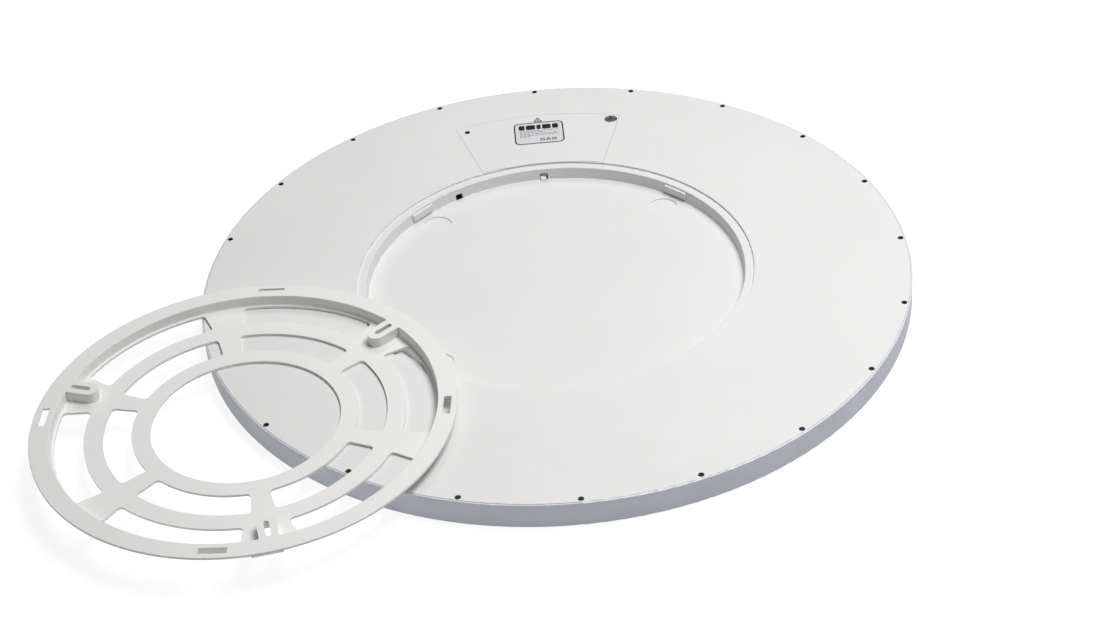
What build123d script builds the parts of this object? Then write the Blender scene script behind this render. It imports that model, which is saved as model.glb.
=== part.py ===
from build123d import *
import os
from math import cos, radians, sin

os.makedirs("parts", exist_ok=True)

# A slim round edge-lit ceiling light, lying with its light-giving face down, and the
# twist-lock bracket that it hangs from, taken off and laid over its edge.
# Origin: centre of the front face. +Z: towards the ceiling. +Y: towards the terminal cover.
# All sizes are in millimetres and all angles in degrees.

# ---- driving dimensions: the light ----
LIGHT_R = 300.0            # outer radius of the rim
LIGHT_H = 22.0             # front face to back face
RIM_WALL = 1.2
RIM_TOP = 21.6
LIP_IN = 9.0               # front lip, measured inward from the outer radius
LIP_T = 1.2
SHELF_R = 289.0            # inner radius of the shelf that takes the rim screws
SHELF_Z = (17.2, 20.0)
RIM_SCREW_R = 295.3        # circle of the rim screws
RIM_SCREWS = 20
RIM_HEAD_R = 2.3
RIM_HEAD_H = 1.2
RIM_HEAD_TOP = 21.6
RIM_SHANK_R = 1.3
RIM_SCREW_TIP = 12.0       # height of its tip

COVER_R = LIGHT_R - RIM_WALL - 0.2
SKIN = 2.0                 # wall of the moulded back cover
STEP_R = 168.7             # rebate that the bracket's flange drops into
STEP_D = 1.8
MOUTH_R = 161.2            # recess wall, at its mouth and at its floor
FLOOR_R = 160.0
RECESS_D = 12.0
WALL_FOOT_R = 0.8          # rounding between the recess wall and its floor
TAB_COUNT = 4              # tabs of the twist lock, inside the recess wall
TAB_AT = 44.0
TAB_IN_R = 158.5
TAB_LEN = 24.0
TAB_Z = (LIGHT_H - 10.0, LIGHT_H - 3.5)
MARK_COUNT = 3             # shallow round marks on the recess floor, none at the fourth tab
MARK_R = 12.5
MARK_AT_R = 142.0
MARK_D = 0.9
ENTRY_AT = 119.0           # supply cable entry through the recess wall, level with its floor
ENTRY = (7.0, 5.0)         # its width and height
RIBS = 24                  # stiffening ribs under the back face, left out round the driver
RIB_T = 1.5
RIB_D = 5.0
RIB_OUT_R = 285.0
DRIVER_SECTOR = (20.0, 140.0)

# ---- optical stack, front to back ----
DIFFUSER_T = 2.0
GUIDE_T = 3.0
REFLECTOR_T = 0.4
PLATE_T = 0.8
STRIP_T = 0.6
STRIP_H = 7.0
PAD_RINGS = (20.0, 84.0, 148.0)   # foam rings between the plate and the recess floor
PAD_W = 8.0
CHIPS = 180
CHIP = (1.4, 3.0, 1.6)     # radial, along the rim, height

# ---- terminal cover ----
CAP_SLOPE = 0.287          # how fast each side edge runs outward with Y
CAP_HALF = 55.0            # half width where Y is CAP_Y
CAP_Y = 163.0
CAP_OUT_R = 252.0
CAP_GAP = 0.3
CAP_T = 1.7
CAP_CORNER = 3.0
CAP_SCREW_AT = (68.0, 234.0)
CAP_HEAD_R = 5.6
CAP_HEAD_H = 1.9
CAP_SHANK_R = 2.0
CAP_SCREW_TIP = 9.5
CAP_BORE_D = 2.4           # depth of the counterbore for its head
SIDE_SCREW_AT = (-66.5, 233.0)
SIDE_HEAD_R = 2.4
SIDE_HEAD_H = 1.2
SIDE_SHANK_R = 1.3
SIDE_SCREW_TIP = 12.0
SIDE_BORE_D = 1.6
SCREW_PADS = ((CAP_SCREW_AT, 5.5), (SIDE_SCREW_AT, 4.5))   # posts that take the two screws
PAD_GROW = 2.2             # how much wider the cover's own pads over them are
PAD_H = 2.0
FRAME_Z = (15.0, 20.0)     # rebate frame that the cap rests over
FRAME_OUT = 2.5            # how far it reaches outside the cap's outline, and inside it
FRAME_IN = 4.0
NOTCH_TURN = 14.6          # from the middle of the cap to each pry notch
NOTCH = (1.6, 18.0, 1.2)
LABEL = (47.0, 38.0)
LABEL_T = 0.15
LABEL_Y = 221.0
SIGN_R = 5.4               # triangular label
SIGN_Y = 243.0

# ---- spring latch ----
LATCH_X = (-2.95, 2.0)
LATCH_SLOT_X = (-3.3, 3.7)
LATCH_SLOT_H = 5.8
LATCH_Y = (158.6, 165.0)
LATCH_RAMP = (0.8, 3.8, 3.2)   # height of its nose, length of its ramp, full height
LATCH_GAP = 0.4
LATCH_PLATE = (8.8, 1.4, 6.4)
LATCH_RAIL = (1.5, 7.0, 8.0)
LATCH_RAIL_X = 5.6

# ---- bracket ----
BRACKET_R = 168.0
BRACKET_H = 11.0
BRACKET_AT = (-254.9, -168.0)
BRACKET_TURN = 39.6        # direction of the first screw boss
BRACKET_GAP = 0.3          # running gap over the light's back face
FLANGE_T = 1.8
WALL_IN_R = 152.5
WALL_OUT_R = 154.8
WEB_T = 2.0
HOLE_R = 75.0
INNER_WINDOW_R = (89.5, 112.0)
OUTER_WINDOW_R = (127.0, 150.0)
INNER_SPOKE = (4.7, 4.7)   # half angle of a spoke at a window's inner and outer radius
PLAIN_SPOKE = (5.2, 6.3)
BOSS_SPOKE = (7.5, 8.9)
BOSS_W = 15.0
BOSS_TIP_R = 127.5
BOSS_DECK = 5.0
SCREW_SLOT = (17.0, 4.2)
SCREW_SLOT_R = 142.5
FLANGE_SLOT = (6.0, 21.7)
FLANGE_SLOT_R = 160.0
FLANGE_SLOT_TURN = 44.8    # from the first boss to the first flange slot
LUG_R = 158.9
LUG_T = 1.7
LUG_LEN = 24.0
LUG_TURN = 14.0            # from a flange slot to its lug

# ---- driver, in its own frame: X along its length, Y across, Z from the backing plate ----
DRIVER_AT = (40.0, 228.0)  # direction and radius of its middle
DRIVER = (150.0, 44.0, 11.4)
DRIVER_WALL = 1.2
DRIVER_BOSS_IN = 5.0       # screw bosses, measured inward from the corners
DRIVER_BOSS_R = 3.0
DRIVER_PILOT_R = 1.1
DRIVER_VENTS = 9
DRIVER_VENT_PITCH = 8.0
DRIVER_VENT_W = 1.6
BOARD_Z = (1.8, 3.0)
BOARD_EDGE = 8.0
LEAD_R = 0.9
LEAD_Y = 4.0               # each side of the middle
LEAD_Z = 3.6

# ---- supply terminals, from the backing plate up ----
BLOCK_AT = (0.0, 205.0)
BLOCK = (36.0, 22.0, 11.0)
POLE_PITCH = 11.0
POLES = {"live": -1, "neutral": 0, "earth": 1}
BUTTON = (6.0, 6.5, 5.1)
BUTTON_LIFT = 6.9
BUTTON_POCKET_LIFT = 5.2
BUTTON_GAP = 0.4
CLIP = (5.0, 7.0, 1.6)
CLIP_LIFT = 1.8
BUTTON_BACK = -2.0         # the buttons and clips, measured from the block's middle
CLIP_BACK = 4.0
WIRE_HOLE = (1.7, 16.0)    # radius and length of each wire hole
WIRE_HOLE_LIFT = 2.6
EARTH_AT = (30.0, 183.0)
EARTH_POST = (3.6, 3.0)    # radius and height
EARTH_TAG = (9.0, 14.0, 0.8)
EARTH_HEAD = (3.2, 1.8)
CLAMP_AT = (-38.0, 184.0)
CLAMP_TURN = -48.0         # the clamp lies across the cable on its way to the terminals
CLAMP_LEN = 24.0
CLAMP_BASE = (7.0, 3.0)    # width and height of its base, and of its bar
CLAMP_BAR = (6.0, 2.0)
CLAMP_BAR_LIFT = 5.2
CLAMP_SCREW_X = 9.0
CLAMP_CABLE_R = 4.0
BUSH_T = 2.0

# ---- levels worked out from the above ----
DIFFUSER_Z = LIP_T
GUIDE_Z = DIFFUSER_Z + DIFFUSER_T
REFLECTOR_Z = GUIDE_Z + GUIDE_T
PLATE_Z = REFLECTOR_Z + REFLECTOR_T
CAVITY_Z = PLATE_Z + PLATE_T
FLOOR_Z = LIGHT_H - RECESS_D
LEDGE_Z = LIGHT_H - STEP_D
RIM_IN_R = LIGHT_R - RIM_WALL
CAP_Z = LIGHT_H - CAP_T
BUTTON_Z = CAVITY_Z + BUTTON_LIFT
EPS = 0.01                 # sinks one solid into another so that they join


def save(shape, name):
    export_step(shape, f"parts/{name}.step")


def spread(count, first=0.0):
    return [first + 360.0 * step / count for step in range(count)]


def at(radius, angle):
    return (radius * cos(radians(angle)), radius * sin(radians(angle)))


def turned(angle, radius=0.0, z=0.0):
    """A place on the circle of that radius, with its X pointing outward."""
    return Rot(0, 0, angle) * Pos(radius, 0, z)


def ring(outer, inner, low, high):
    return Pos(0, 0, low) * extrude(Circle(outer) - Circle(inner), high - low)


def disc(radius, low, high):
    return Pos(0, 0, low) * extrude(Circle(radius), high - low)


def post(place, radius, low, high):
    return Pos(place[0], place[1], low) * extrude(Circle(radius), high - low)


def slab(outline, low, high):
    return Pos(0, 0, low) * extrude(outline, high - low)


def brick(size, low_centre):
    """A box on the point in the middle of its underside."""
    corner = (Align.CENTER, Align.CENTER, Align.MIN)
    return Pos(*low_centre) * Box(*size, align=corner)


def lathe(points, rounds=()):
    """Turn a radius and height outline about Z, with some of its corners rounded."""
    face = make_face(Polyline(*points, close=True))
    for corner, radius in rounds:
        nearest = face.vertices().sort_by_distance(Vector(*corner))[0]
        face = fillet(nearest, radius)
    return revolve(Plane.XZ * face, Axis.Z)


def group(pieces):
    return Compound(children=list(pieces))


def cross_cut(width, length, depth, place, top):
    """The cross recess in a screw's head."""
    low = (place[0], place[1], top - depth)
    return brick((length, width, depth + 1), low) + brick((width, length, depth + 1), low)


def screw(place, head_r, head_h, top, shank_r, tip, edge=0.3):
    head = post(place, head_r, top - head_h, top)
    head = fillet(head.edges().filter_by(GeomType.CIRCLE).group_by(Axis.Z)[-1], edge)
    body = head + post(place, shank_r, tip, top - head_h)
    body = chamfer(body.edges().filter_by(GeomType.CIRCLE).group_by(Axis.Z)[0], shank_r * 0.5)
    return body - cross_cut(head_r * 0.28, head_r * 1.2, head_h * 0.6, place, top)


# ---- rim ----
def rim_frame():
    lip_r = LIGHT_R - LIP_IN
    outline = [
        (lip_r, 0), (LIGHT_R, 0), (LIGHT_R, RIM_TOP), (RIM_IN_R, RIM_TOP),
        (RIM_IN_R, SHELF_Z[1]), (SHELF_R, SHELF_Z[1]), (SHELF_R, SHELF_Z[0]),
        (RIM_IN_R, SHELF_Z[0]), (RIM_IN_R, LIP_T), (lip_r, LIP_T),
    ]
    rounds = [((LIGHT_R, 0), 0.8), ((LIGHT_R, RIM_TOP), 0.5), ((lip_r, 0), 0.3)]
    rim = lathe(outline, rounds)
    for angle in spread(RIM_SCREWS, 90.0):
        rim -= post(at(RIM_SCREW_R, angle), RIM_SHANK_R + 0.05, SHELF_Z[0] - 1, SHELF_Z[1] + 1)
    return rim


def rim_screws():
    heads = []
    for angle in spread(RIM_SCREWS, 90.0):
        place = at(RIM_SCREW_R, angle)
        heads.append(screw(place, RIM_HEAD_R, RIM_HEAD_H, RIM_HEAD_TOP, RIM_SHANK_R, RIM_SCREW_TIP))
    return group(heads)


# ---- back cover ----
def cap_outline(grow, inner_r, outer_r):
    """The terminal cover's outline, grown sideways, between two arcs about the axis."""
    near, far = STEP_R - 40.0, outer_r + 10.0
    half_near = CAP_HALF + (near - CAP_Y) * CAP_SLOPE + grow
    half_far = CAP_HALF + (far - CAP_Y) * CAP_SLOPE + grow
    wedge = Polygon(
        (-half_near, near), (half_near, near), (half_far, far), (-half_far, far), align=None)
    return wedge & (Circle(outer_r) - Circle(inner_r))


def cap_corners_rounded(outline, radius):
    return fillet(outline.vertices().group_by(Axis.Y)[-1], radius)


def back_shell():
    """Skin, rebate, recess wall and recess floor in one turned outline."""
    outline = [
        (0, FLOOR_Z), (FLOOR_R, FLOOR_Z), (MOUTH_R, LEDGE_Z), (STEP_R, LEDGE_Z),
        (STEP_R, LIGHT_H), (COVER_R, LIGHT_H), (COVER_R, LIGHT_H - SKIN),
        (STEP_R + SKIN, LIGHT_H - SKIN), (STEP_R + SKIN, LEDGE_Z - SKIN),
        (MOUTH_R + SKIN, LEDGE_Z - SKIN), (FLOOR_R + SKIN, FLOOR_Z - SKIN), (0, FLOOR_Z - SKIN),
    ]
    rounds = [
        ((FLOOR_R, FLOOR_Z), WALL_FOOT_R), ((MOUTH_R, LEDGE_Z), 0.5), ((STEP_R, LIGHT_H), 0.3),
        ((COVER_R, LIGHT_H), 0.4), ((STEP_R, LEDGE_Z), 0.3),
    ]
    return lathe(outline, rounds)


def twist_tab(angle):
    """One tab inside the recess wall, open beneath, that rests on a lug of the bracket."""
    root_r = MOUTH_R + SKIN / 2
    tab = Box(root_r - TAB_IN_R, TAB_LEN, TAB_Z[1] - TAB_Z[0])
    tab = fillet(tab.edges().group_by(Axis.X)[0], 0.3)
    return turned(angle, (root_r + TAB_IN_R) / 2, sum(TAB_Z) / 2) * tab


def latch_cut():
    low_x, high_x = LATCH_SLOT_X
    size = (high_x - low_x, 2 * SKIN + 2.0, LATCH_SLOT_H + LATCH_GAP)
    return brick(size, ((low_x + high_x) / 2, FLOOR_R + SKIN / 2, FLOOR_Z - LATCH_GAP))


def latch_guides():
    y = FLOOR_R + SKIN + 3.0
    return [brick(LATCH_RAIL, (x, y, FLOOR_Z - SKIN)) for x in (-LATCH_RAIL_X, LATCH_RAIL_X)]


def entry_cut():
    """The cable hole, cut below the floor outside the wall, so that the cable can dip."""
    width, height = ENTRY
    reach, foot = 8.0, WALL_FOOT_R + 0.4
    hole = brick((reach + foot, width, height), ((reach - foot) / 2, 0, 0))
    hole += brick((reach, width, SKIN + 1.0 + EPS), (reach / 2, 0, -SKIN - 1.0))
    return turned(ENTRY_AT, FLOOR_R + 0.1, FLOOR_Z) * hole


def stiffening_ribs():
    ribs = []
    first, last = DRIVER_SECTOR
    in_r = STEP_R + 1.0
    for angle in spread(RIBS, 180.0 / RIBS):
        if not first < angle < last:
            rib = Box(RIB_OUT_R - in_r, RIB_T, RIB_D)
            place = turned(angle, (RIB_OUT_R + in_r) / 2, LIGHT_H - SKIN - RIB_D / 2 + EPS)
            ribs.append(place * rib)
    return ribs


def screw_pads(cover):
    """Posts under the terminal cover's two screws, with room round the cover's own pads."""
    top = FRAME_Z[1] - 2.3
    for place, radius in SCREW_PADS:
        cover += post(place, radius, CAVITY_Z + 0.6, top)
        cover -= post(place, radius + PAD_GROW + 1.0, top, LIGHT_H - SKIN)
    cover -= post(CAP_SCREW_AT, CAP_SHANK_R + 0.3, 0, LIGHT_H)
    return cover - post(SIDE_SCREW_AT, SIDE_SHANK_R + 0.3, 0, LIGHT_H)


def back_cover():
    cover = back_shell()
    tab_angles = spread(TAB_COUNT, TAB_AT)
    for angle in tab_angles:
        cover += twist_tab(angle)
    for angle in tab_angles[:MARK_COUNT]:
        cover -= post(at(MARK_AT_R, angle), MARK_R, FLOOR_Z - MARK_D, FLOOR_Z + 1)
    for piece in latch_guides() + stiffening_ribs():
        cover += piece
    cover -= latch_cut()
    cover -= entry_cut()

    opening = cap_outline(CAP_GAP, STEP_R - EPS, CAP_OUT_R + CAP_GAP)
    cover -= slab(cap_corners_rounded(opening, CAP_CORNER + CAP_GAP), LIGHT_H - SKIN, LIGHT_H + 1)
    outer = cap_outline(FRAME_OUT, STEP_R + 1.0, CAP_OUT_R + FRAME_OUT)
    inner = cap_outline(-FRAME_IN, STEP_R + 1.0 + FRAME_IN, CAP_OUT_R - FRAME_IN)
    cover += slab(outer - inner, *FRAME_Z)
    cover = screw_pads(cover)

    for angle in spread(RIM_SCREWS, 90.0):
        place = at(RIM_SCREW_R, angle)
        cover -= post(place, RIM_HEAD_R + 0.2, RIM_HEAD_TOP - RIM_HEAD_H, LIGHT_H + 1)
        cover -= post(place, RIM_SHANK_R + 0.05, 0, LIGHT_H)
    return cover


# ---- terminal cover and what rides on it ----
def terminal_cover():
    outline = cap_outline(0, STEP_R + CAP_GAP, CAP_OUT_R)
    cap = slab(cap_corners_rounded(outline, CAP_CORNER), CAP_Z, LIGHT_H)
    for place, radius in SCREW_PADS:
        cap += post(place, radius + PAD_GROW, CAP_Z - PAD_H, CAP_Z) & slab(outline, 0, LIGHT_H)
    for angle in (90.0 - NOTCH_TURN, 90.0 + NOTCH_TURN):
        cap -= turned(angle, STEP_R + CAP_GAP, LIGHT_H) * Box(*NOTCH)
    cap -= post(CAP_SCREW_AT, CAP_HEAD_R + 0.4, LIGHT_H - CAP_BORE_D, LIGHT_H + 1)
    cap -= post(CAP_SCREW_AT, CAP_SHANK_R + 0.4, 0, LIGHT_H)
    cap -= post(SIDE_SCREW_AT, SIDE_HEAD_R + 0.2, LIGHT_H - SIDE_BORE_D, LIGHT_H + 1)
    return cap - post(SIDE_SCREW_AT, SIDE_SHANK_R + 0.2, 0, LIGHT_H)


def cover_screw():
    top = LIGHT_H - 0.2
    return screw(CAP_SCREW_AT, CAP_HEAD_R, CAP_HEAD_H, top, CAP_SHANK_R, CAP_SCREW_TIP, edge=0.6)


def side_screw():
    top = LIGHT_H - 0.4
    return screw(SIDE_SCREW_AT, SIDE_HEAD_R, SIDE_HEAD_H, top, SIDE_SHANK_R, SIDE_SCREW_TIP)


def rating_label():
    return Pos(0, LABEL_Y, LIGHT_H) * extrude(RectangleRounded(*LABEL, 5.0), LABEL_T)


def warning_label():
    triangle = RegularPolygon(SIGN_R, 3, rotation=-30)
    return Pos(0, SIGN_Y, LIGHT_H) * extrude(triangle, LABEL_T)


# ---- spring latch ----
def latch_tongue():
    """A ramped tongue in the recess wall that gives way outward to a passing lug."""
    (low_x, high_x), (front, back) = LATCH_X, LATCH_Y
    nose, ramp, height = LATCH_RAMP
    side = Polygon(
        (front, 0), (back, 0), (back, height), (front + ramp, height), (front, nose), align=None)
    tongue = Pos(low_x, 0, FLOOR_Z) * extrude(Plane.YZ * side, high_x - low_x)
    return tongue + brick(LATCH_PLATE, (0, back, CAVITY_Z + 0.9))


# ---- optical stack ----
def led_chips():
    chips = []
    radius = RIM_IN_R - 0.2 - STRIP_T - CHIP[0] / 2 - 0.02
    for angle in spread(CHIPS):
        chips.append(turned(angle, radius, GUIDE_Z + GUIDE_T / 2) * Box(*CHIP))
    return group(chips)


def led_strip():
    outer = RIM_IN_R - 0.2
    return ring(outer, outer - STRIP_T, GUIDE_Z + 0.2, GUIDE_Z + 0.2 + STRIP_H)


def foam_pads():
    top = FLOOR_Z - SKIN
    return group([ring(radius + PAD_W, radius, CAVITY_Z, top) for radius in PAD_RINGS])


# ---- driver ----
def driver_place(z=0.0):
    angle, radius = DRIVER_AT
    return turned(angle, radius, CAVITY_Z + z) * Rot(0, 0, 90)


def driver_corners():
    length, width, _ = DRIVER
    x, y = length / 2 - DRIVER_BOSS_IN, width / 2 - DRIVER_BOSS_IN
    return [(end * x, side * y) for end in (-1, 1) for side in (-1, 1)]


def driver_tray():
    length, width, height = DRIVER
    tray = brick((length, width, height - DRIVER_WALL), (0, 0, 0))
    inside = (length - 2 * DRIVER_WALL, width - 2 * DRIVER_WALL, height)
    tray -= brick(inside, (0, 0, DRIVER_WALL))
    for x in (-length / 2, length / 2):
        for y in (-LEAD_Y, LEAD_Y):
            tray -= Pos(x, y, LEAD_Z) * Rot(0, 90, 0) * Cylinder(LEAD_R + 0.3, 10)
    for place in driver_corners():
        tray += post(place, DRIVER_BOSS_R, 0, height - 2 * DRIVER_WALL)
        tray -= post(place, DRIVER_PILOT_R, BOARD_Z[1], height)
    return driver_place() * tray


def driver_lid():
    length, width, height = DRIVER
    lid = brick((length, width, DRIVER_WALL), (0, 0, height - DRIVER_WALL))
    for place in driver_corners():
        lid -= post(place, 1.2, 0, height + 1)
    for step in range(DRIVER_VENTS):
        x = (step - (DRIVER_VENTS - 1) / 2) * DRIVER_VENT_PITCH
        lid -= brick((DRIVER_VENT_W, width / 2, 4.0), (x, 0, height - 2.0))
    return driver_place() * lid


def driver_screws():
    top = DRIVER[2] + 0.8
    place = driver_place()
    return group([place * screw(spot, 2.2, 0.8, top, 1.0, 5.0, edge=0.2) for spot in driver_corners()])


def driver_board():
    length, width, _ = DRIVER
    low, high = BOARD_Z
    board = brick((length - 2 * BOARD_EDGE, width - 2 * BOARD_EDGE, high - low), (0, 0, low))
    return driver_place() * board


def driver_transformer():
    x, low = 12.0, BOARD_Z[1]
    core = brick((17.0, 20.0, 6.2), (x, 0, low))
    core -= brick((12.0, 14.0, 4.0), (x, 0, low + 1.1))
    bobbin = brick((11.6, 13.6, 3.6), (x, 0, low + 1.3))
    return group([driver_place() * core, driver_place() * bobbin])


def driver_capacitors():
    cans = []
    for x, radius, length in ((-46.0, 3.1, 20.0), (-30.0, 3.1, 16.0), (42.0, 2.8, 18.0)):
        can = Pos(x, 0, BOARD_Z[1] + radius) * Rot(90, 0, 0) * Cylinder(radius, length)
        cans.append(driver_place() * can)
    return group(cans)


def driver_chips():
    chips = []
    for x, y, side in ((-12.0, 6.0, 8.0), (-14.0, -7.0, 6.0), (29.0, 7.0, 5.0), (29.0, -6.0, 7.0)):
        chips.append(driver_place() * brick((side, side * 0.7, 1.6), (x, y, BOARD_Z[1])))
    return group(chips)


# ---- supply terminals ----
def pole_x(pole):
    return BLOCK_AT[0] + POLES[pole] * POLE_PITCH


def terminal_block():
    block = brick(BLOCK, (*BLOCK_AT, CAVITY_Z))
    block = fillet(block.edges().filter_by(Axis.Z), 1.0)
    front = BLOCK_AT[1] - BLOCK[1] / 2
    pocket = (BUTTON[0] + 2 * BUTTON_GAP, BUTTON[1] + 2 * BUTTON_GAP, 12.0)
    for pole in POLES:
        x = pole_x(pole)
        block -= brick(pocket, (x, BLOCK_AT[1] + BUTTON_BACK, CAVITY_Z + BUTTON_POCKET_LIFT))
        block -= Pos(x, front, CAVITY_Z + WIRE_HOLE_LIFT) * Rot(90, 0, 0) * Cylinder(*WIRE_HOLE)
        block -= brick(CLIP, (x, BLOCK_AT[1] + CLIP_BACK, CAVITY_Z + CLIP_LIFT))
    return block


def terminal_clips():
    y, z = BLOCK_AT[1] + CLIP_BACK, CAVITY_Z + CLIP_LIFT
    return group([brick(CLIP, (pole_x(pole), y, z)) for pole in POLES])


def terminal_button(pole):
    x, y = pole_x(pole), BLOCK_AT[1] + BUTTON_BACK
    button = brick(BUTTON, (x, y, BUTTON_Z))
    top = button.faces().sort_by(Axis.Z)[-1]
    button = fillet(top.edges(), 0.5)
    slit = (BUTTON[0] - 1.6, 1.0, 1.0)
    return button - brick(slit, (x, y, BUTTON_Z + BUTTON[2] - 0.6))


def earth_tag():
    """A tapped post on the backing plate with a flat tag on top."""
    radius, height = EARTH_POST
    tag = post(EARTH_AT, radius, CAVITY_Z, CAVITY_Z + height)
    tag += brick(EARTH_TAG, (EARTH_AT[0], EARTH_AT[1] + 3.0, CAVITY_Z + height))
    return tag - post(EARTH_AT, 1.6, CAVITY_Z + 0.4, LIGHT_H)


def earth_screw():
    head_r, head_h = EARTH_HEAD
    top = CAVITY_Z + EARTH_POST[1] + EARTH_TAG[2] + head_h
    return screw(EARTH_AT, head_r, head_h, top, 1.5, CAVITY_Z + 0.6)


def clamp_place():
    return Pos(CLAMP_AT[0], CLAMP_AT[1], CAVITY_Z) * Rot(0, 0, CLAMP_TURN)


def cord_clamp_base():
    base = brick((CLAMP_LEN, *CLAMP_BASE), (0, 0, 0))
    base -= Pos(0, 0, 1.2 + CLAMP_CABLE_R) * Rot(90, 0, 0) * Cylinder(CLAMP_CABLE_R, 10)
    for x in (-CLAMP_SCREW_X, CLAMP_SCREW_X):
        base -= post((x, 0), 1.1, 0.6, 5.0)
    return clamp_place() * base


def cord_clamp_bar():
    bar = brick((CLAMP_LEN, *CLAMP_BAR), (0, 0, CLAMP_BAR_LIFT))
    bar += brick((7.0, 2.0, 1.0), (0, 0, CLAMP_BAR_LIFT - 1.0))
    for x in (-CLAMP_SCREW_X, CLAMP_SCREW_X):
        bar += post((x, 0), 2.6, CLAMP_BASE[1], CLAMP_BAR_LIFT)
        bar -= post((x, 0), 1.2, 0, 9.0)
    return clamp_place() * bar


def cord_clamp_screws():
    spots = [(-CLAMP_SCREW_X, 0), (CLAMP_SCREW_X, 0)]
    return group([clamp_place() * screw(spot, 2.4, 1.4, 8.6, 1.0, 1.2) for spot in spots])


def entry_bush():
    width, height = ENTRY
    frame = Box(BUSH_T, width + 4.0, height + 3.0) - Box(2 * BUSH_T, width, height)
    return turned(ENTRY_AT, FLOOR_R + SKIN + 1.2 + BUSH_T / 2, FLOOR_Z + height / 2) * frame


def lead(points, radii, z):
    path = FilletPolyline(*[(x, y, z) for x, y in points], radius=radii)
    section = Plane(origin=path @ 0, z_dir=path % 0) * Circle(LEAD_R)
    return sweep(section, path=path)


def driver_spot(x, y):
    spot = (driver_place() * Pos(x, y, 0)).position
    return (spot.X, spot.Y)


def mains_leads():
    """Two leads from the terminal block to the driver's near end."""
    leads = []
    block_end = BLOCK_AT[0] + BLOCK[0] / 2 + 0.2
    for side in (-1, 1):
        points = [
            (block_end, BLOCK_AT[1] - 2.0 - side * 3.0), (66.0, BLOCK_AT[1] + 2.0 - side * 3.0),
            driver_spot(DRIVER[0] / 2 + 22.0, side * LEAD_Y), driver_spot(DRIVER[0] / 2, side * LEAD_Y),
        ]
        leads.append(lead(points, [30.0, 8.0], CAVITY_Z + LEAD_Z))
    return group(leads)


def led_leads():
    """Two leads from the driver's far end to the strip on the rim."""
    leads = []
    for side in (-1, 1):
        strip_end = at(RIM_IN_R - 0.6 - STRIP_T, 9.0 + side * 0.8)
        points = [
            driver_spot(-DRIVER[0] / 2, side * LEAD_Y),
            driver_spot(-DRIVER[0] / 2 - 26.0, side * LEAD_Y), strip_end,
        ]
        leads.append(lead(points, [14.0], CAVITY_Z + LEAD_Z))
    return group(leads)


# ---- bracket, in its own frame: top of the flange at z = 0, first boss along +X ----
def window(radii, edges):
    """A gap in the web between two arcs and two slanted ends, with rounded corners."""
    (inner_r, outer_r), (first, last) = radii, edges
    middle_in, middle_out = sum(a[0] for a in edges) / 2, sum(a[1] for a in edges) / 2
    low_a, low_b = at(inner_r, first[0]), at(inner_r, last[0])
    high_a, high_b = at(outer_r, first[1]), at(outer_r, last[1])
    outline = [
        ThreePointArc(low_a, at(inner_r, middle_in), low_b), Line(low_b, high_b),
        ThreePointArc(high_b, at(outer_r, middle_out), high_a), Line(high_a, low_a),
    ]
    face = make_face(outline)
    return slab(fillet(face.vertices(), 3.5), -BRACKET_H - 1, -1.0)


def web_windows():
    cuts = []
    for step in range(6):
        start, stop = 60.0 * step, 60.0 * (step + 1)
        from_boss = step % 2 == 0
        near, far = (BOSS_SPOKE, PLAIN_SPOKE) if from_boss else (PLAIN_SPOKE, BOSS_SPOKE)
        inner = [(start + INNER_SPOKE[0], start + INNER_SPOKE[1]),
                 (stop - INNER_SPOKE[0], stop - INNER_SPOKE[1])]
        outer = [(start + near[0], start + near[1]), (stop - far[0], stop - far[1])]
        cuts.append(window(INNER_WINDOW_R, inner))
        cuts.append(window(OUTER_WINDOW_R, outer))
    return cuts


def boss_outline(half_width, tip_r, root_r):
    """A tongue from the wall towards the centre with a round end."""
    straight = root_r - tip_r - half_width
    body = Pos(root_r - straight / 2, 0) * Rectangle(straight, 2 * half_width)
    return body + Pos(tip_r + half_width, 0) * Circle(half_width)


def bracket_at_origin():
    outline = [
        (HOLE_R, -BRACKET_H), (WALL_OUT_R, -BRACKET_H), (WALL_OUT_R, -FLANGE_T),
        (BRACKET_R, -FLANGE_T), (BRACKET_R, 0), (WALL_IN_R, 0),
        (WALL_IN_R - 0.5, WEB_T - BRACKET_H), (HOLE_R, WEB_T - BRACKET_H),
    ]
    rounds = [
        ((BRACKET_R, 0), 0.5), ((WALL_IN_R, 0), 0.5),
        ((WALL_IN_R - 0.5, WEB_T - BRACKET_H), 1.9), ((HOLE_R, WEB_T - BRACKET_H), 0.4),
    ]
    bracket = lathe(outline, rounds)
    for cut in web_windows():
        bracket -= cut
    for angle in spread(3):
        turn = Rot(0, 0, angle)
        boss = slab(boss_outline(BOSS_W / 2, BOSS_TIP_R, WALL_IN_R + 1.0), -BRACKET_H, 0)
        hollow = slab(boss_outline(BOSS_W / 2 - 2.0, BOSS_TIP_R + 2.0, WALL_IN_R - 0.5),
                      -BRACKET_H - 1, -BOSS_DECK)
        slot = Pos(SCREW_SLOT_R, 0, 0) * slab(SlotOverall(*SCREW_SLOT), -BRACKET_H, 1)
        bracket += turn * boss
        bracket -= turn * hollow
        bracket -= turn * slot
    for angle in spread(4, FLANGE_SLOT_TURN):
        slot = Box(*FLANGE_SLOT, 4 * FLANGE_T)
        bracket -= turned(angle, FLANGE_SLOT_R) * slot
        lug = Box(LUG_R - WALL_IN_R - 1.0, LUG_LEN, LUG_T)
        middle = (LUG_R + WALL_IN_R + 1.0) / 2
        bracket += turned(angle + LUG_TURN, middle, LUG_T / 2 - BRACKET_H) * lug
    return bracket


def mounting_bracket():
    top = LIGHT_H + BRACKET_GAP + BRACKET_H
    return Pos(*BRACKET_AT, top) * Rot(0, 0, BRACKET_TURN) * bracket_at_origin()


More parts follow.
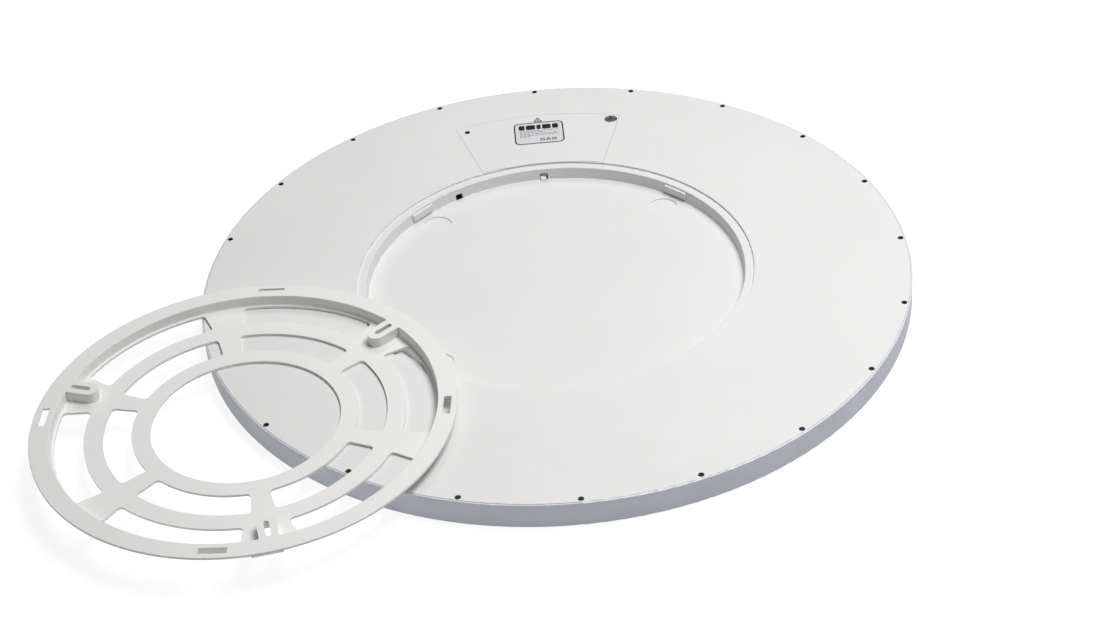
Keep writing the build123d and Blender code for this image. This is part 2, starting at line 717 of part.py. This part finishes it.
save(rim_frame(), "rim_frame")
save(rim_screws(), "rim_screws")
save(back_cover(), "back_cover")
save(disc(RIM_IN_R - 0.3, DIFFUSER_Z, GUIDE_Z), "diffuser")
save(disc(RIM_IN_R - 2.6, GUIDE_Z, REFLECTOR_Z), "light_guide")
save(disc(RIM_IN_R - 2.8, REFLECTOR_Z, PLATE_Z), "reflector_sheet")
save(disc(RIM_IN_R - 5.0, PLATE_Z, CAVITY_Z), "backing_plate")
save(foam_pads(), "foam_pads")
save(led_strip(), "led_strip")
save(led_chips(), "led_chips")
save(driver_tray(), "driver_tray")
save(driver_lid(), "driver_lid")
save(driver_screws(), "driver_screws")
save(driver_board(), "driver_board")
save(driver_transformer(), "driver_transformer")
save(driver_capacitors(), "driver_capacitors")
save(driver_chips(), "driver_chips")
save(terminal_block(), "terminal_block")
save(terminal_clips(), "terminal_clips")
for pole in POLES:
    save(terminal_button(pole), f"terminal_button_{pole}")
save(earth_tag(), "earth_tag")
save(earth_screw(), "earth_screw")
save(cord_clamp_base(), "cord_clamp_base")
save(cord_clamp_bar(), "cord_clamp_bar")
save(cord_clamp_screws(), "cord_clamp_screws")
save(entry_bush(), "entry_bush")
save(mains_leads(), "mains_leads")
save(led_leads(), "led_leads")
save(latch_tongue(), "latch_tongue")
save(terminal_cover(), "terminal_cover")
save(cover_screw(), "cover_screw")
save(side_screw(), "side_screw")
save(rating_label(), "rating_label")
save(warning_label(), "warning_label")
save(mounting_bracket(), "mounting_bracket")
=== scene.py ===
"""Looks of a slim round LED ceiling light, lying face down, and its twist-lock bracket."""

import random
from math import cos, radians, sin

import bmesh
import bpy
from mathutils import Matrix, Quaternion, Vector


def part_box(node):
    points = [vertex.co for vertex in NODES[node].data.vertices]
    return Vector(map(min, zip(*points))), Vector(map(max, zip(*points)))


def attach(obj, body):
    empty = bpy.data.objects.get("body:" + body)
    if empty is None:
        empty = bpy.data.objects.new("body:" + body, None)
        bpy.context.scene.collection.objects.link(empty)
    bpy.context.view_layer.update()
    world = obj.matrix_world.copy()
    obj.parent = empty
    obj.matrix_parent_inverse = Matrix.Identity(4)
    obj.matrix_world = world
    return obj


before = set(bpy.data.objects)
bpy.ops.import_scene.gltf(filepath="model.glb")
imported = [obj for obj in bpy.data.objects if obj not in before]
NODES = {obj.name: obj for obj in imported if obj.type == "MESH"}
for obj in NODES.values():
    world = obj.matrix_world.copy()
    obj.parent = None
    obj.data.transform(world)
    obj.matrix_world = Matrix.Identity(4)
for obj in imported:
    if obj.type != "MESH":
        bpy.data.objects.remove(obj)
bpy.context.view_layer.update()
MM = 0.001


# ---- node helpers ----
def new_material(name):
    material = bpy.data.materials.new(name)
    material.use_nodes = True
    tree = material.node_tree
    return material, tree, tree.nodes["Principled BSDF"]


def add(tree, kind, inputs=None, **settings):
    """A new node with its settings; inputs take a plain value or another node's socket."""
    node = tree.nodes.new(kind)
    for key, value in settings.items():
        setattr(node, key, value)
    for key, value in (inputs or {}).items():
        if isinstance(value, bpy.types.NodeSocket):
            tree.links.new(value, node.inputs[key])
        else:
            node.inputs[key].default_value = value
    return node


def place_of(tree):
    """A point of the surface in the part's own frame, in metres."""
    return add(tree, "ShaderNodeTexCoord").outputs["Object"]


def noise(tree, point, size, detail=3.0, rough=0.5):
    """Noise whose blobs are about size metres across."""
    node = add(tree, "ShaderNodeTexNoise", {"Vector": point, "Scale": 1.0 / size,
                                            "Detail": detail, "Roughness": rough})
    return node.outputs["Fac"]


def between(tree, value, low, high, start=0.3, stop=0.7):
    node = add(tree, "ShaderNodeMapRange", {"Value": value, "From Min": start, "From Max": stop,
                                            "To Min": low, "To Max": high})
    return node.outputs["Result"]


def when_seen(tree, unseen, seen):
    """One strength for what the camera looks at and another for the light that it gives."""
    looked_at = add(tree, "ShaderNodeLightPath").outputs["Is Camera Ray"]
    return between(tree, looked_at, unseen, seen, 0.0, 1.0)


def blend_colours(tree, factor, first, second):
    node = add(tree, "ShaderNodeMix", data_type="RGBA")
    tree.links.new(factor, node.inputs[0])
    node.inputs[6].default_value = (*first, 1.0)
    node.inputs[7].default_value = (*second, 1.0)
    return node.outputs[2]


def bump(tree, height, distance, strength=1.0, normal=None):
    inputs = {"Height": height, "Distance": distance, "Strength": strength}
    if normal is not None:
        inputs["Normal"] = normal
    return add(tree, "ShaderNodeBump", inputs).outputs["Normal"]


def around_axis(tree, along, across):
    """Object space unrolled about Z: angle times along, height and radius times across."""
    point = add(tree, "ShaderNodeSeparateXYZ", {"Vector": place_of(tree)})
    angle = add(tree, "ShaderNodeMath", {0: point.outputs["Y"], 1: point.outputs["X"]},
                operation="ARCTAN2")
    angle = add(tree, "ShaderNodeMath", {0: angle.outputs[0], 1: along}, operation="MULTIPLY")
    flat = add(tree, "ShaderNodeCombineXYZ", {"X": point.outputs["X"], "Y": point.outputs["Y"]})
    radius = add(tree, "ShaderNodeVectorMath", {0: flat.outputs[0]}, operation="LENGTH")
    radius = add(tree, "ShaderNodeMath", {0: radius.outputs["Value"], 1: across},
                 operation="MULTIPLY")
    height = add(tree, "ShaderNodeMath", {0: point.outputs["Z"], 1: across}, operation="MULTIPLY")
    return add(tree, "ShaderNodeCombineXYZ", {"X": angle.outputs[0], "Y": radius.outputs[0],
                                              "Z": height.outputs[0]}).outputs[0]


# ---- materials ----
def moulded_plastic(name, colour, rough=0.42, grain=0.0004, depth=0.00002, shade=0.02, gloss=0.5):
    """Moulded plastic: a fine etched grain, faint flow marks and slightly uneven gloss."""
    material, tree, shader = new_material(name)
    point = place_of(tree)
    darker = tuple(c * (1.0 - shade) for c in colour)
    flow = between(tree, noise(tree, point, 0.09, 2.0), 0.0, 1.0)
    tree.links.new(blend_colours(tree, flow, darker, colour), shader.inputs["Base Color"])
    uneven = between(tree, noise(tree, point, 0.025, 4.0), rough - 0.05, rough + 0.06)
    tree.links.new(uneven, shader.inputs["Roughness"])
    etched = bump(tree, noise(tree, point, grain, 2.0, 0.6), depth, 0.6)
    wavy = bump(tree, noise(tree, point, 0.05, 1.0), 0.0002, 0.15, etched)
    tree.links.new(wavy, shader.inputs["Normal"])
    shader.inputs["Specular IOR Level"].default_value = gloss
    return material


def satin_aluminium(name, colour, rough=0.56, metal=0.2):
    """Rolled aluminium with a satin coat: hair lines along the rim and soft blotches."""
    material, tree, shader = new_material(name)
    lines = noise(tree, around_axis(tree, 6.0, 4000.0), 1.0, 2.0, 0.6)
    cloudy = noise(tree, place_of(tree), 0.03, 3.0)
    darker = tuple(c * 0.93 for c in colour)
    tree.links.new(blend_colours(tree, between(tree, cloudy, 0.0, 1.0), darker, colour),
                   shader.inputs["Base Color"])
    tree.links.new(between(tree, lines, rough - 0.06, rough + 0.08), shader.inputs["Roughness"])
    tree.links.new(bump(tree, lines, 0.000015, 0.5), shader.inputs["Normal"])
    shader.inputs["Metallic"].default_value = metal
    return material


def plain_metal(name, colour, rough=0.35, grain=0.0006, worn=0.25, metal=1.0):
    """Plated, blackened or pressed metal with wear spots and fine scratches."""
    material, tree, shader = new_material(name)
    point = place_of(tree)
    lighter = tuple(min(1.0, c * (1.0 + worn)) for c in colour)
    spots = between(tree, noise(tree, point, 0.002, 4.0), 0.0, 1.0, 0.4, 0.65)
    tree.links.new(blend_colours(tree, spots, colour, lighter), shader.inputs["Base Color"])
    tree.links.new(between(tree, noise(tree, point, grain * 3, 3.0), rough - 0.1, rough + 0.12),
                   shader.inputs["Roughness"])
    scratched = bump(tree, noise(tree, point, grain, 3.0), 0.00003, 0.5)
    tree.links.new(scratched, shader.inputs["Normal"])
    shader.inputs["Metallic"].default_value = metal
    return material


def opal_acrylic(name):
    """Milky diffuser sheet: smooth, faintly see-through, with a fine frosting."""
    material, tree, shader = new_material(name)
    point = place_of(tree)
    haze = between(tree, noise(tree, point, 0.12, 2.0), 0.0, 1.0)
    tree.links.new(blend_colours(tree, haze, (0.86, 0.86, 0.84), (0.90, 0.90, 0.885)),
                   shader.inputs["Base Color"])
    frost = noise(tree, point, 0.00025, 2.0, 0.6)
    tree.links.new(between(tree, frost, 0.26, 0.36), shader.inputs["Roughness"])
    tree.links.new(bump(tree, frost, 0.00001, 0.4), shader.inputs["Normal"])
    shader.inputs["Subsurface Weight"].default_value = 0.25
    shader.inputs["Subsurface Radius"].default_value = (0.004, 0.004, 0.004)
    return material


def clear_acrylic(name):
    """Light guide: clear sheet with an even grid of small printed dots."""
    material, tree, shader = new_material(name)
    point = place_of(tree)
    cells = add(tree, "ShaderNodeTexVoronoi", {"Vector": point, "Scale": 400.0, "Randomness": 0.0})
    dots = between(tree, cells.outputs["Distance"], 1.0, 0.0, 0.25, 0.35)
    tree.links.new(blend_colours(tree, dots, (0.80, 0.86, 0.86), (0.95, 0.95, 0.93)),
                   shader.inputs["Base Color"])
    tree.links.new(between(tree, dots, 0.08, 0.5, 0.0, 1.0), shader.inputs["Roughness"])
    shader.inputs["Transmission Weight"].default_value = 0.7
    shader.inputs["IOR"].default_value = 1.49
    return material


def fibre_sheet(name, colour, grain=0.0008):
    """Paper, film or foam: a matt sheet with a soft random fibre or cell."""
    material, tree, shader = new_material(name)
    point = place_of(tree)
    fibres = noise(tree, point, grain, 5.0, 0.65)
    darker = tuple(c * 0.9 for c in colour)
    tree.links.new(blend_colours(tree, between(tree, fibres, 0.0, 1.0), darker, colour),
                   shader.inputs["Base Color"])
    tree.links.new(between(tree, fibres, 0.55, 0.75), shader.inputs["Roughness"])
    tree.links.new(bump(tree, fibres, 0.00003, 0.5), shader.inputs["Normal"])
    return material


def printed_ink(name, colour):
    """Screen-printed ink, a little thin where the paper is rough."""
    material, tree, shader = new_material(name)
    point = place_of(tree)
    thin = between(tree, noise(tree, point, 0.0005, 4.0), 0.0, 1.0, 0.5, 0.8)
    lighter = tuple(c + 0.08 for c in colour)
    tree.links.new(blend_colours(tree, thin, colour, lighter), shader.inputs["Base Color"])
    tree.links.new(between(tree, thin, 0.6, 0.75, 0.0, 1.0), shader.inputs["Roughness"])
    shader.inputs["Specular IOR Level"].default_value = 0.08
    return material


def floor_paper(name):
    """Seamless studio paper that looks white and gives the part only a little light back.

    From beneath it can be seen through, so that it doesn't hide the part's front face.
    """
    material, tree, shader = new_material(name)
    tooth = noise(tree, place_of(tree), 0.0015, 4.0)
    tree.links.new(bump(tree, tooth, 0.00005, 0.2), shader.inputs["Normal"])
    shader.inputs["Base Color"].default_value = (0.30, 0.30, 0.30, 1.0)
    shader.inputs["Roughness"].default_value = 0.8
    shader.inputs["Specular IOR Level"].default_value = 0.1
    shader.inputs["Emission Color"].default_value = (1.0, 1.0, 1.0, 1.0)
    tree.links.new(when_seen(tree, 0.42, 0.85), shader.inputs["Emission Strength"])
    side = add(tree, "ShaderNodeNewGeometry").outputs["Backfacing"]
    clear = add(tree, "ShaderNodeBsdfTransparent")
    mixed = add(tree, "ShaderNodeMixShader", {0: side, 1: shader.outputs[0], 2: clear.outputs[0]})
    tree.links.new(mixed.outputs[0], tree.nodes["Material Output"].inputs["Surface"])
    return material


def dress(names, material):
    for name in names:
        slots = NODES[name].material_slots
        if not slots:
            NODES[name].data.materials.append(material)
        for slot in slots:
            slot.material = material


def dress_all():
    white = moulded_plastic("cover_white", (0.80, 0.795, 0.79))
    dress(["back_cover", "terminal_cover"], white)
    dress(["latch_tongue"], moulded_plastic("latch_white", (0.84, 0.84, 0.83), rough=0.35))
    dress(["mounting_bracket"], moulded_plastic("bracket_white", (0.87, 0.865, 0.85), rough=0.38,
                                                grain=0.0006))
    dress(["rim_frame"], satin_aluminium("rim_aluminium", (0.77, 0.80, 0.86)))
    dress(["rim_screws", "side_screw"], plain_metal("screw_black", (0.02, 0.02, 0.02), worn=2.0))
    dress(["cover_screw", "driver_screws", "cord_clamp_screws"],
          plain_metal("screw_zinc", (0.20, 0.20, 0.20), worn=0.6))
    dress(["diffuser"], opal_acrylic("opal_acrylic"))
    dress(["light_guide"], clear_acrylic("clear_acrylic"))
    dress(["reflector_sheet"], fibre_sheet("reflector_film", (0.92, 0.92, 0.92), 0.0004))
    dress(["backing_plate"], plain_metal("plate_aluminium", (0.62, 0.62, 0.63), worn=0.1))
    dress(["foam_pads"], fibre_sheet("foam_black", (0.03, 0.03, 0.03), 0.001))
    dress(["led_strip"], moulded_plastic("strip_white", (0.80, 0.80, 0.76), grain=0.001))
    dress(["led_chips"], moulded_plastic("chip_phosphor", (0.85, 0.62, 0.10), rough=0.3))
    dress(["driver_tray", "driver_lid"], moulded_plastic("driver_white", (0.74, 0.74, 0.72)))
    dress(["driver_board"], moulded_plastic("board_green", (0.03, 0.16, 0.06), rough=0.3))
    dress(["driver_transformer"], plain_metal("ferrite_grey", (0.06, 0.06, 0.065), 0.6, metal=0.0))
    dress(["driver_capacitors"], plain_metal("can_aluminium", (0.45, 0.46, 0.5)))
    dress(["driver_chips"], moulded_plastic("chip_black", (0.02, 0.02, 0.022), rough=0.5))
    dress(["terminal_block"], moulded_plastic("block_grey", (0.42, 0.43, 0.44)))
    dress([n for n in NODES if n.startswith("terminal_button")],
          moulded_plastic("button_orange", (0.72, 0.18, 0.03)))
    dress(["terminal_clips", "earth_tag", "earth_screw"],
          plain_metal("brass_plain", (0.68, 0.48, 0.18), 0.3))
    dress(["cord_clamp_base", "cord_clamp_bar"], moulded_plastic("clamp_black", (0.03, 0.03, 0.03)))
    dress(["entry_bush"], moulded_plastic("bush_rubber", (0.012, 0.012, 0.012), rough=0.7))
    dress(["mains_leads", "led_leads"], moulded_plastic("lead_insulation", (0.16, 0.07, 0.03)))
    dress(["rating_label", "warning_label"], fibre_sheet("label_paper", (0.72, 0.71, 0.73), 0.0006))


# ---- the label's print ----
def rounded_rectangle(width, height, radius, steps=8):
    """Points round a rectangle with round corners, counter-clockwise."""
    points = []
    corners = [(1, 1, 0), (-1, 1, 90), (-1, -1, 180), (1, -1, 270)]
    for side_x, side_y, first in corners:
        centre = (side_x * (width / 2 - radius), side_y * (height / 2 - radius))
        for step in range(steps + 1):
            angle = radians(first + 90.0 * step / steps)
            points.append((centre[0] + radius * cos(angle), centre[1] + radius * sin(angle)))
    return points


def triangle(size):
    return [(size * cos(radians(a)), size * sin(radians(a))) for a in (90, 210, 330)]


class Print:
    """Thin raised ink on a flat label: bands and filled patches in one mesh."""

    THICK = 0.03 * MM

    def __init__(self, name, low):
        self.mesh, self.name, self.low = bmesh.new(), name, low

    def raise_faces(self, faces):
        grown = bmesh.ops.extrude_face_region(self.mesh, geom=faces)
        top = [v for v in grown["geom"] if isinstance(v, bmesh.types.BMVert)]
        bmesh.ops.translate(self.mesh, verts=top, vec=(0, 0, self.THICK))

    def ring(self, points, centre):
        """Corners on the label, from points round a centre in millimetres."""
        x, y = centre
        return [self.mesh.verts.new(((x + px) * MM, (y + py) * MM, self.low)) for px, py in points]

    def patch(self, points, centre):
        self.raise_faces([self.mesh.faces.new(self.ring(points, centre))])

    def band(self, outer, inner, centre):
        out, into = self.ring(outer, centre), self.ring(inner, centre)
        faces = []
        for here in range(len(out)):
            after = (here + 1) % len(out)
            faces.append(self.mesh.faces.new((out[here], out[after], into[after], into[here])))
        self.raise_faces(faces)

    def finish(self, material, body):
        bmesh.ops.recalc_face_normals(self.mesh, faces=self.mesh.faces)
        data = bpy.data.meshes.new(self.name)
        self.mesh.to_mesh(data)
        self.mesh.free()
        data.materials.append(material)
        piece = bpy.data.objects.new(self.name, data)
        bpy.context.scene.collection.objects.link(piece)
        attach(piece, body)
        return piece


def print_border(ink, level, centre, size):
    margin, line = 0.5, 1.2
    width, height = (side - 2 * margin for side in size)
    outer = rounded_rectangle(width, height, 5.2)
    inner = rounded_rectangle(width - 2 * line, height - 2 * line, 4.1)
    border = Print("rating_label_border", level)
    border.band(outer, inner, centre)
    border.finish(ink, "cover")


def print_heading(ink, level, centre):
    """Plain blocks where a name would be."""
    high, gap, x = 8.0, 1.3, centre[0] - 18.5
    blocks = Print("rating_label_heading", level)
    for wide in (5.5, 8.5, 4.0, 8.0, 5.6):
        blocks.patch(rounded_rectangle(wide, high, 1.6), (x + wide / 2, centre[1] + 10.2))
        x += wide + gap
    blocks.finish(ink, "cover")


def print_rows(ink, level, centre):
    """Dashes where the small text would be, and three outlined signs under them."""
    pitch, thick, gap = 2.5, 0.8, 0.9
    rows = Print("rating_label_rows", level)
    pick = random.Random(7)
    for row, end in enumerate((17.0, 4.0, 14.0, 17.0, -8.0)):
        x, y = centre[0] - 18.0, centre[1] + 4.0 - pitch * row
        while x < centre[0] + end:
            word = pick.uniform(1.5, 4.0)
            rows.patch(rounded_rectangle(word, thick, 0.3, 3), (x + word / 2, y))
            x += word + gap
    badge = (rounded_rectangle(4.2, 4.0, 1.2), rounded_rectangle(2.2, 2.0, 0.6))
    warning = (triangle(3.2), triangle(1.4))
    for step, (outer, inner) in enumerate((badge, warning, badge)):
        rows.band(outer, inner, (centre[0] + 2.5 + 5.5 * step, centre[1] - 12.0))
    rows.finish(ink, "cover")


def print_sign(ink, level, centre):
    sign = Print("warning_label_border", level)
    sign.band(triangle(4.9), triangle(3.0), centre)
    sign.patch(triangle(1.1), centre)
    sign.finish(ink, "cover")


def label_print():
    ink = printed_ink("label_ink", (0.015, 0.015, 0.017))
    low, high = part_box("rating_label")
    centre = ((low.x + high.x) / 2 / MM, (low.y + high.y) / 2 / MM)
    print_border(ink, high.z, centre, ((high.x - low.x) / MM, (high.y - low.y) / MM))
    print_heading(ink, high.z, centre)
    small_ink = printed_ink("label_small_ink", (0.06, 0.06, 0.065))
    print_rows(small_ink, high.z, centre)
    low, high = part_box("warning_label")
    print_sign(ink, high.z, (0.0, low.y / MM + 2.7))


# ---- studio ----
def area_light(name, place, aim, size, power, colour=(1.0, 1.0, 1.0)):
    data = bpy.data.lights.new(name, "AREA")
    data.shape = "RECTANGLE"
    data.size, data.size_y = size
    data.energy = power
    data.color = colour
    lamp = bpy.data.objects.new(name, data)
    lamp.location = place
    lamp.rotation_euler = (Vector(aim) - Vector(place)).to_track_quat("-Z", "Y").to_euler()
    bpy.context.scene.collection.objects.link(lamp)
    return lamp


def studio():
    world = bpy.data.worlds.new("studio")
    world.use_nodes = True
    tree = world.node_tree
    sky = tree.nodes["Background"]
    sky.inputs["Color"].default_value = (1.0, 0.99, 0.98, 1.0)
    tree.links.new(when_seen(tree, 0.12, 0.9), sky.inputs["Strength"])
    bpy.context.scene.world = world

    area_light("overhead", (0.55, -0.05, 1.6), (0.05, 0.0, 0), (0.8, 0.8), 23.0)
    area_light("back_panel", (0.4, 1.7, 2.1), (0.1, -0.2, 0), (1.8, 0.8), 16.0)

    data = bpy.data.meshes.new("floor")
    reach, level = 6.0, -0.2 * MM
    sides = ((-reach, -reach / 2), (reach, -reach / 2), (reach, reach), (-reach, reach))
    corners = [(x, y, level) for x, y in sides]
    data.from_pydata(corners, [], [(0, 1, 2, 3)])
    data.materials.append(floor_paper("floor_paper"))
    floor = bpy.data.objects.new("floor", data)
    bpy.context.scene.collection.objects.link(floor)
    bpy.context.scene.view_settings.view_transform = "Standard"


def camera():
    place, aim = Vector((-0.0299, -1.5302, 1.1075)), Vector((-0.0077, -0.0563, 0.022))
    data = bpy.data.cameras.new("camera")
    data.lens, data.sensor_width = 72.34, 36.0
    shot = bpy.data.objects.new("camera", data)
    shot.location = place
    level = (aim - place).to_track_quat("-Z", "Y")
    tilt = Quaternion((0, 0, 1), radians(-4.757))
    shot.rotation_euler = (level @ tilt).to_euler()
    bpy.context.scene.collection.objects.link(shot)
    bpy.context.scene.camera = shot


dress_all()
label_print()
studio()
camera()
